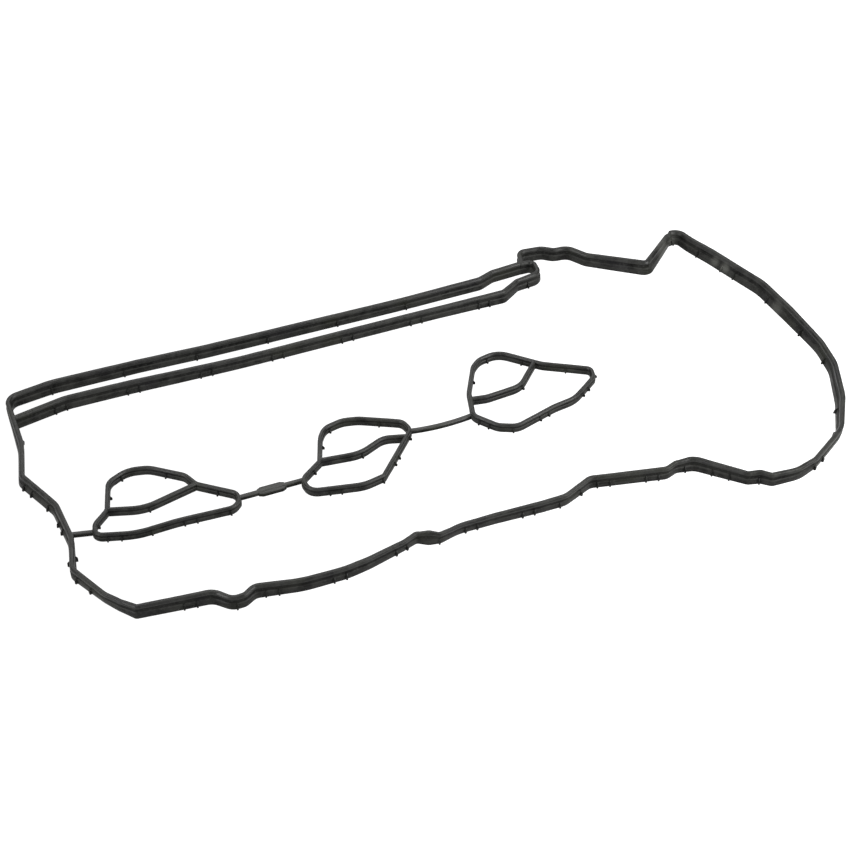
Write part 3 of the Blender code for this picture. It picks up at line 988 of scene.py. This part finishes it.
@dataclass(frozen=True)
class Network:
    """Shader nodes of one material, with short ways to add and join them."""

    tree: bpy.types.ShaderNodeTree

    def node(self, kind: str, **settings: object) -> bpy.types.ShaderNode:
        """Adds a node.

        Args:
            kind: The node's type.
            settings: Its properties.

        Returns:
            The node.
        """
        node = self.tree.nodes.new(kind)
        for name, value in settings.items():
            setattr(node, name, value)
        return node

    def join(self, source: Socket, target: Socket) -> None:
        """Links an output to an input."""
        self.tree.links.new(source, target)

    def places(self, stretch: Triple, shift: float = 0.0) -> Socket:
        """The object's own coordinates, stretched by an amount on each axis.

        Args:
            stretch: Factor on X, Y and Z.
            shift: How far the pattern is moved along all three, in its own units.

        Returns:
            The coordinates.
        """
        coordinates = self.node("ShaderNodeTexCoord")
        mapping = self.node("ShaderNodeMapping")
        mapping.inputs["Scale"].default_value = stretch
        mapping.inputs["Location"].default_value = (shift, shift, shift)
        self.join(coordinates.outputs["Object"], mapping.inputs["Vector"])
        return mapping.outputs["Vector"]

    def noise(
        self, places: Socket, detail: float, roughness: float
    ) -> Socket:
        """Soft noise over some coordinates.

        Args:
            places: Where it is read.
            detail: How many finer layers it holds.
            roughness: How strong these are.

        Returns:
            Its value, about 0.5 on average.
        """
        node = self.node("ShaderNodeTexNoise")
        node.inputs["Scale"].default_value = 1.0
        node.inputs["Detail"].default_value = detail
        node.inputs["Roughness"].default_value = roughness
        self.join(places, node.inputs["Vector"])
        return node.outputs["Fac"]

    def span(
        self, value: Socket, source: Range, target: Range
    ) -> Socket:
        """Carries a value from one range into another, smoothly and held at its ends.

        Args:
            value: The value.
            source: The range that it is read in.
            target: The range that it is carried into.

        Returns:
            The carried value.
        """
        node = self.node("ShaderNodeMapRange", interpolation_type="SMOOTHSTEP")
        for name, number in zip(("From Min", "From Max", "To Min", "To Max"), (*source, *target)):
            node.inputs[name].default_value = number
        self.join(value, node.inputs["Value"])
        return node.outputs["Result"]

    def blend(
        self, share: Socket, below: Socket | tuple, above: tuple
    ) -> Socket:
        """Mixes a colour over another.

        Args:
            share: How much of the upper colour shows.
            below: The lower colour, as numbers or as another mix.
            above: The upper colour.

        Returns:
            The mixed colour.
        """
        node = self.node("ShaderNodeMix", data_type="RGBA")
        self.join(share, node.inputs["Factor"])
        if isinstance(below, tuple):
            node.inputs[LOWER_COLOUR].default_value = (*below, 1.0)
        else:
            self.join(below, node.inputs[LOWER_COLOUR])
        node.inputs[UPPER_COLOUR].default_value = (*above, 1.0)
        return node.outputs[MIXED_COLOUR]


@dataclass(frozen=True)
class Pattern:
    """Noise over the rubber: its features' length and height, its shift and its finer layers."""

    length: float
    height: float
    shift: float
    detail: float
    roughness: float

    def value(self, net: Network) -> Socket:
        """The pattern's value in a material, about 0.5 on average."""
        stretch = (1 / self.length, 1 / self.length, 1 / self.height)
        return net.noise(net.places(stretch, self.shift), self.detail, self.roughness)


GRAIN = 0.35 * MM
SPECK = GRAIN * 3
MOTTLE = Pattern(7.0 * MM, 7.0 * MM, shift=0.0, detail=3.0, roughness=0.6)
STREAKS = Pattern(30.0 * MM, 0.9 * MM, shift=3.0, detail=2.0, roughness=0.5)
TINTS = Pattern(22.0 * MM, 22.0 * MM, shift=11.0, detail=1.0, roughness=0.5)
SPECKS = Pattern(SPECK, SPECK, shift=7.0, detail=2.0, roughness=0.6)


@dataclass(frozen=True)
class Relief:
    """Small bumps of the rubber's surface: their pattern, strength and depth."""

    pattern: Pattern
    strength: float
    depth: float


RELIEFS = (
    Relief(Pattern(3.0 * MM, 3.0 * MM, 5.0, 2.0, 0.5), strength=0.5, depth=0.1 * MM),
    Relief(Pattern(GRAIN, GRAIN, 0.0, 3.0, 0.6), strength=0.6, depth=0.02 * MM),
)


@dataclass(frozen=True)
class PaintedHighlightSpot:
    """A paler patch painted on the moulding as a painted highlight.

    Its centre and reach are in millimetres, and its core is the share of the reach that has the
    full strength.
    """

    centre: Triple
    reach: float
    strength: float
    core: float = 0.25


# Paler spots painted on the right, back and front walls as painted highlights.
PAINTED_HIGHLIGHT_SPOTS = (
    PaintedHighlightSpot(centre=(222.6, 77.8, 4.5), reach=5.0, strength=0.8),
    PaintedHighlightSpot(centre=(225.4, 69.3, 4.5), reach=5.0, strength=0.9),
    PaintedHighlightSpot(centre=(236.2, 20.0, 3.5), reach=7.0, strength=0.6),
    PaintedHighlightSpot(centre=(199.0, 103.5, 4.0), reach=11.0, strength=0.45),
    PaintedHighlightSpot(centre=(209.5, 110.0, 4.0), reach=6.0, strength=0.4),
    PaintedHighlightSpot(centre=(-45.0, -103.5, 2.5), reach=7.0, strength=0.2),
)


@dataclass(frozen=True)
class MouldedRubber:
    """Satin black rubber as it leaves the mould: mottled, faintly streaked and finely grained, with
    paler spots that are painted highlights.
    """

    name: str
    base: Triple = (0.0016, 0.0016, 0.0014)
    bloom: Triple = (0.0155, 0.0157, 0.0143)
    warm: Triple = (0.0135, 0.0142, 0.0098)
    cool: Triple = (0.0095, 0.009, 0.0106)
    dust: Triple = (0.032, 0.0324, 0.03)
    # Colour of the paler spots, a painted highlight.
    painted_highlight: Triple = (0.055, 0.0555, 0.05)
    gloss: Range = (0.36, 0.56)
    gloss_mottle: Range = (0.3, 0.7)
    specular: float = 0.09

    def coats(self, net: Network, mottle: Socket) -> tuple[tuple, ...]:
        """The tints over the base colour, from the lowest up.

        Args:
            net: The material's nodes.
            mottle: The mottle's value, which the gloss follows too.

        Returns:
            Each coat's pattern, the values between which it fades in, its share at both, and its
            colour.
        """
        streaks, tints, specks = STREAKS.value(net), TINTS.value(net), SPECKS.value(net)
        return (
            (mottle, (0.36, 0.66), (0.1, 1.0), self.bloom),
            (tints, (0.54, 0.7), (0.0, 0.5), self.warm),
            (tints, (0.46, 0.32), (0.0, 0.4), self.cool),
            (streaks, (0.45, 0.7), (0.0, 0.7), self.bloom),
            (specks, (0.53, 0.72), (0.0, 0.38), self.dust),
        )

    def material(self) -> bpy.types.Material:
        """Makes the finish; in every copy but the wall's its colours are painted shade or painted
        highlight.

        Returns:
            The new material.
        """
        material = bpy.data.materials.new(self.name)
        material.use_nodes = True
        net = Network(material.node_tree)
        shader = material.node_tree.nodes["Principled BSDF"]
        shader.inputs["Metallic"].default_value = 0.0
        shader.inputs["Specular IOR Level"].default_value = self.specular

        mottle = MOTTLE.value(net)
        colour = self.base
        for pattern, values, shares, tint in self.coats(net, mottle):
            colour = net.blend(net.span(pattern, values, shares), colour, tint)
        # Paler spots mixed into the colour: painted highlights that fade out over their reach.
        for spot in PAINTED_HIGHLIGHT_SPOTS:
            away = net.node("ShaderNodeVectorMath", operation="DISTANCE")
            away.inputs[1].default_value = spot.centre
            net.join(net.places(IN_MM), away.inputs[0])
            fade = (spot.reach, spot.reach * spot.core)
            share = net.span(away.outputs["Value"], fade, (0.0, spot.strength))
            colour = net.blend(share, colour, self.painted_highlight)
        net.join(colour, shader.inputs["Base Color"])
        net.join(net.span(mottle, self.gloss_mottle, self.gloss), shader.inputs["Roughness"])

        normal = None
        for relief in RELIEFS:
            bump = net.node("ShaderNodeBump")
            bump.inputs["Strength"].default_value = relief.strength
            bump.inputs["Distance"].default_value = relief.depth
            net.join(relief.pattern.value(net), bump.inputs["Height"])
            if normal is not None:
                net.join(normal, bump.inputs["Normal"])
            normal = bump.outputs["Normal"]
        net.join(normal, shader.inputs["Normal"])
        return material


# The wall's rubber, and copies of it in painted shade and painted highlight for the other faces, each
# with its own gloss.
FINISHES_AND_PAINTED_LIGHT = {
    FinishAndPaintedLight.WALL: MouldedRubber("wall_rubber"),
    # A darker, duller copy: painted shade in the neck groove and under the bead, and on the lower sides
    # of the links and the tag.
    FinishAndPaintedLight.GROOVE: MouldedRubber(
        "groove_rubber_painted_shade",
        base=(0.001, 0.001, 0.0009),
        bloom=(0.01, 0.0101, 0.0092),
        gloss=(0.42, 0.56),
        specular=0.06,
    ),
    # A lighter copy: painted highlight on the ledge that slopes up from the wall.
    FinishAndPaintedLight.LEDGE: MouldedRubber(
        "ledge_rubber_painted_highlight",
        base=(0.004, 0.0041, 0.0037),
        bloom=(0.02, 0.0203, 0.0184),
        gloss=(0.45, 0.6),
    ),
    # A lighter, shinier copy: painted highlight on the bead and its crown.
    FinishAndPaintedLight.BEAD: MouldedRubber(
        "bead_rubber_painted_highlight",
        base=(0.0034, 0.0035, 0.0032),
        bloom=(0.0165, 0.0168, 0.0154),
        gloss=(0.36, 0.52),
        specular=0.18,
    ),
    # A darker copy: painted shade on the nibs.
    FinishAndPaintedLight.NIB: MouldedRubber(
        "nib_rubber_painted_shade",
        base=(0.0015, 0.0015, 0.0014),
        bloom=(0.007, 0.0071, 0.0065),
        gloss=(0.35, 0.5),
        specular=0.08,
    ),
    # A much lighter, shinier copy: painted highlight on the upper edges and tops of the links and the
    # tag.
    FinishAndPaintedLight.LINK: MouldedRubber(
        "link_rubber_painted_highlight",
        base=(0.011, 0.0112, 0.0103),
        bloom=(0.028, 0.0284, 0.026),
        gloss=(0.36, 0.52),
        specular=0.26,
    ),
    # A darker, duller copy: painted contact shadow on the foot's chamfer.
    FinishAndPaintedLight.FOOT: MouldedRubber(
        "foot_rubber_painted_shadow",
        base=(0.0015, 0.0015, 0.0014),
        bloom=(0.005, 0.0051, 0.0046),
        specular=0.04,
    ),
}


@dataclass
class Gasket(Moulding):
    """The whole gasket: its sub-assemblies, united into the one moulding."""

    ring: Ring = field(default_factory=Ring)
    wells: tuple[PlugWell, ...] = WELLS
    links: tuple[LinkBar, ...] = (
        LinkBar("left_link", start=-11.8, end=-15.2),
        LinkBar("tag_link", start=-17.5, end=-10.0),
        LinkBar("bare_link", start=9.0, end=-12.8, bow=-1.9),
    )
    tag: Tag = field(default_factory=Tag)

    def build(self) -> SceneObject:
        """Builds and dresses the sub-assemblies, and unites their meshes.

        Returns:
            The finished piece.
        """
        materials = {finish_and_light: rubber.material() for finish_and_light, rubber in FINISHES_AND_PAINTED_LIGHT.items()}
        ring = self.ring.build()
        loops = [well.build() for well in self.wells]
        centres = [well.centre() + PLAN_SHIFT for well in self.wells]
        carriers = [(ring, Vector((PLAN_SHIFT.x, centres[0].y)), Heading.TO_LEFT)]
        carriers += [(loop, centre, Heading.TO_RIGHT) for loop, centre in zip(loops, centres)]
        for link, carrier, loop, centre in zip(self.links, carriers, loops, centres):
            ends = link.ends(*carrier, loop, centre)
            link.build(*ends)
            if link.name == "tag_link":
                self.tag.build(*ends)
        for part in (self.ring, *self.wells, *self.links, self.tag):
            part.dress(materials)
            self.shapes += part.shapes
            LOG.info("%s: %d meshes", type(part).__name__, len(part.shapes))
        return self.unite("gasket_moulding")

    def unite(self, name: str) -> SceneObject:
        """Unites all the shapes into one mesh, in which a few edges stay doubled or open.

        Args:
            name: The finished piece's name.

        Returns:
            The piece, smooth except at its sharp edges.
        """
        body, *others = self.shapes
        shapes = bpy.data.collections.new("shapes")
        bpy.context.scene.collection.children.link(shapes)
        for other in others:
            shapes.objects.link(other)
        union = body.modifiers.new("union", "BOOLEAN")
        union.operation = "UNION"
        union.solver = "EXACT"
        union.operand_type = "COLLECTION"
        union.collection = shapes
        depsgraph = bpy.context.evaluated_depsgraph_get()
        mesh = bpy.data.meshes.new_from_object(body.evaluated_get(depsgraph))
        for shape in self.shapes:
            bpy.data.objects.remove(shape)
        bpy.data.collections.remove(shapes)
        mesh.name = name
        mesh.shade_smooth()
        mesh.set_sharp_from_angle(angle=SHARP_ANGLE)
        return placed(name, mesh)


@dataclass(frozen=True)
class Softbox:
    """A large soft lamp aimed at the middle of the object."""

    name: str
    azimuth: float
    elevation: float
    distance: float
    size: float
    power: float

    def build(self) -> None:
        """Hangs the lamp."""
        lamp = bpy.data.lights.new(self.name, "AREA")
        lamp.shape = "SQUARE"
        lamp.size = self.size
        lamp.energy = self.power
        turn, lift = math.radians(self.azimuth), math.radians(self.elevation)
        facing(self.name, lamp, Vector(), turn, lift, self.distance)


@dataclass(frozen=True)
class Studio:
    """A pale glowing table, lit most at its right front, under a sky that is brightest overhead."""

    floor_size: float = 16.0
    floor_colour: Triple = (0.12, 0.12, 0.12)
    floor_roughness: float = 0.9
    floor_glow: Range = (0.93, 1.2)
    glow_heading: Triple = (0.76, -0.65, 0.0)
    glow_reach: float = 0.22
    horizon: float = 0.3
    zenith: float = 1.0
    lamps: tuple[Softbox, ...] = (
        Softbox("back", azimuth=165.0, elevation=42.0, distance=2.2, size=1.0, power=12.0),
        Softbox("key", azimuth=50.0, elevation=30.0, distance=0.72, size=0.4, power=8.5),
        Softbox("fill", azimuth=-80.0, elevation=22.0, distance=2.0, size=0.8, power=38.0),
    )

    def floor(self) -> None:
        """Lays the floor, which glows so that the gasket casts next to no shadow."""
        half = self.floor_size / 2
        corners = [(-half, -half, 0), (half, -half, 0), (half, half, 0), (-half, half, 0)]
        mesh = bpy.data.meshes.new("floor")
        mesh.from_pydata(corners, [], [(0, 1, 2, 3)])
        floor = placed("floor", mesh)
        material = bpy.data.materials.new("pale_floor")
        material.use_nodes = True
        shader = material.node_tree.nodes["Principled BSDF"]
        shader.inputs["Base Color"].default_value = (*self.floor_colour, 1.0)
        shader.inputs["Roughness"].default_value = self.floor_roughness
        shader.inputs["Specular IOR Level"].default_value = 0.0
        shader.inputs["Emission Color"].default_value = WHITE
        net = Network(material.node_tree)
        coordinates = net.node("ShaderNodeTexCoord")
        along = net.node("ShaderNodeVectorMath", operation="DOT_PRODUCT")
        along.inputs[1].default_value = self.glow_heading
        net.join(coordinates.outputs["Object"], along.inputs[0])
        reach = (-self.glow_reach, self.glow_reach)
        glow = net.span(along.outputs["Value"], reach, self.floor_glow)
        net.join(glow, shader.inputs["Emission Strength"])
        mesh.materials.append(material)

    def sky(self) -> None:
        """Grades the light of the surroundings from the horizon to overhead."""
        world = bpy.data.worlds.new("studio")
        world.use_nodes = True
        net = Network(world.node_tree)
        background = world.node_tree.nodes["Background"]
        coordinates = net.node("ShaderNodeTexCoord")
        split = net.node("ShaderNodeSeparateXYZ")
        net.join(coordinates.outputs["Generated"], split.inputs["Vector"])
        light = net.span(split.outputs["Z"], (0.0, 1.0), (self.horizon, self.zenith))
        net.join(light, background.inputs["Strength"])
        background.inputs["Color"].default_value = WHITE
        bpy.context.scene.world = world

    def build(self) -> None:
        """Sets up the floor, the sky and the lamps."""
        self.floor()
        self.sky()
        bpy.context.scene.view_settings.view_transform = "Standard"
        for lamp in self.lamps:
            lamp.build()
        LOG.info("studio: floor, sky and %d lamps", len(self.lamps))


@dataclass(frozen=True)
class Viewpoint:
    """The camera, standing about where the photograph seems to be taken from."""

    azimuth: float = math.radians(-22.46)
    elevation: float = math.radians(38.0)
    distance: float = 1736.1 * MM
    aim: Triple = (-7.3 * MM, -1.98 * MM, 0.0)
    lens: float = 125.0
    sensor: float = 36.0

    def build(self) -> None:
        """Sets up the camera."""
        camera = bpy.data.cameras.new("camera")
        camera.lens = self.lens
        camera.sensor_width = self.sensor
        camera.sensor_fit = "HORIZONTAL"
        place = Vector(self.aim), self.azimuth, self.elevation, self.distance
        bpy.context.scene.camera = facing("camera", camera, *place)
        LOG.info("camera: %.0f mm lens", self.lens)


def main() -> None:
    """Builds the camera, the studio and the gasket, and hands the gasket to the frame."""
    logging.basicConfig(level=logging.INFO, format="%(name)s: %(message)s")
    Viewpoint().build()
    Studio().build()
    piece = Gasket().build()
    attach(piece, BODY)
    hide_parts(NODE)
    LOG.info("%s: %d faces", piece.name, len(piece.data.polygons))


if __name__ == "__main__":
    main()
